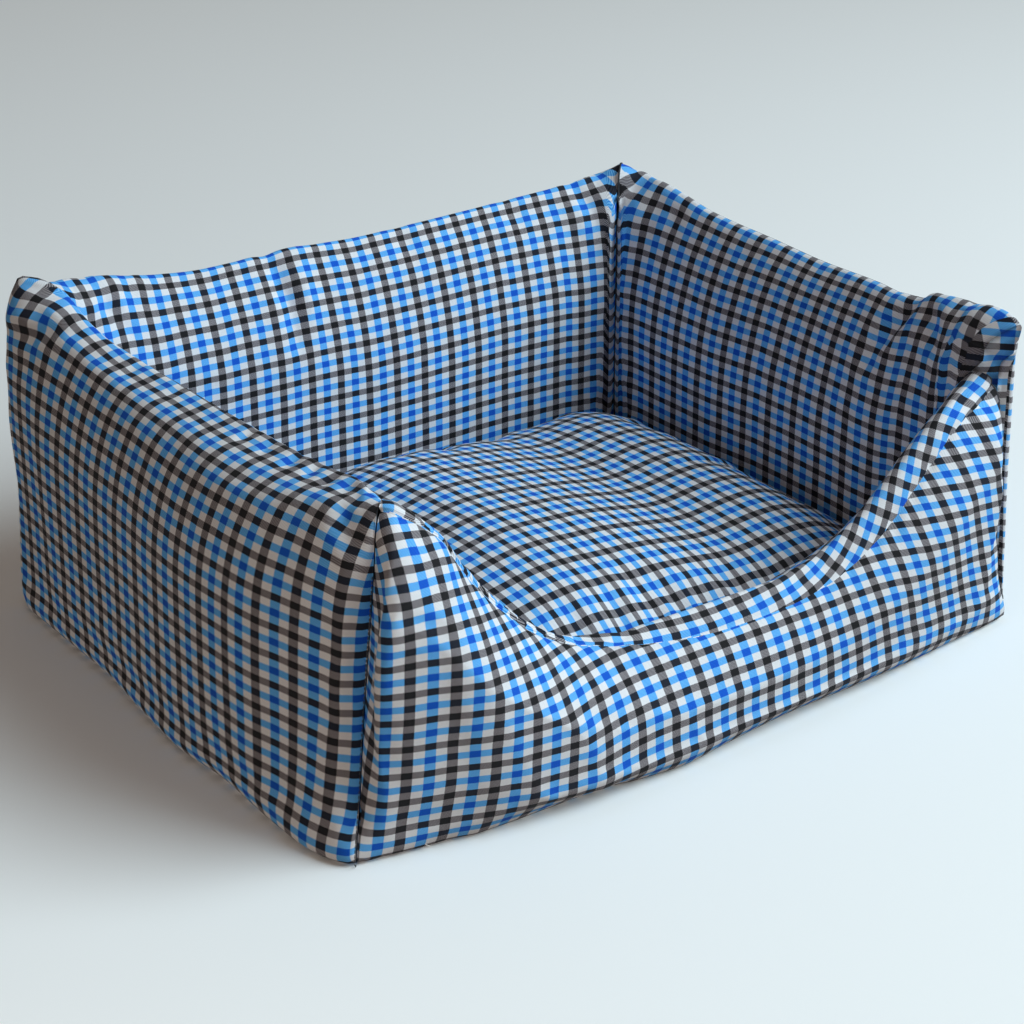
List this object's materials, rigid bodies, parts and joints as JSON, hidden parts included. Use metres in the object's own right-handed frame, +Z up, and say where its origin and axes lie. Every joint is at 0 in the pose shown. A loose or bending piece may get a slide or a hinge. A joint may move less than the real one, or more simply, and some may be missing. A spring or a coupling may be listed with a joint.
{
  "type": "pet cushion bed",
  "caption": "Rectangular pet bed with stuffed check-cloth walls, a low scooped front to step over and a loose puffy cushion on its floor.",
  "frame": {"origin": "centre of the footprint, on the underside of the base", "axes": "+X along the width, to the right as seen from the front; +Y from the scooped front to the back; +Z up"},
  "size_m": [0.66, 0.56, 0.2595],
  "materials": {
    "wall_check_cloth": "blue, black and white yarn-dyed check twill, matt",
    "cushion_check_cloth": "blue, black and white yarn-dyed check twill, matt",
    "seam_cloth": "folded check twill with dark topstitching",
    "base_cloth": "plain black non-slip cloth",
    "wadding": "white polyester wadding",
    "fibre_filling": "white loose polyester fibre"
  },
  "bodies": {
    "bed": {"base_panel": "base_cloth", "base_wadding": "wadding", "floor_panel": "wall_check_cloth", "front_outer_panel": "wall_check_cloth", "front_inner_panel": "wall_check_cloth", "front_filling": "fibre_filling", "back_outer_panel": "wall_check_cloth", "back_inner_panel": "wall_check_cloth", "back_filling": "fibre_filling", "left_outer_panel": "wall_check_cloth", "left_inner_panel": "wall_check_cloth", "left_filling": "fibre_filling", "right_outer_panel": "wall_check_cloth", "right_inner_panel": "wall_check_cloth", "right_filling": "fibre_filling", "front_left_corner_seam": "seam_cloth", "front_right_corner_seam": "seam_cloth", "back_left_corner_seam": "seam_cloth", "back_right_corner_seam": "seam_cloth"},
    "cushion": {"cushion_top_panel": "cushion_check_cloth", "cushion_bottom_panel": "cushion_check_cloth", "cushion_filling": "fibre_filling"}
  },
  "joints": [
    {"name": "cushion_lift", "type": "slide", "parent": "bed", "child": "cushion", "axis": [0, 0, 1], "range_m": [0, 0.3]}
  ]
}
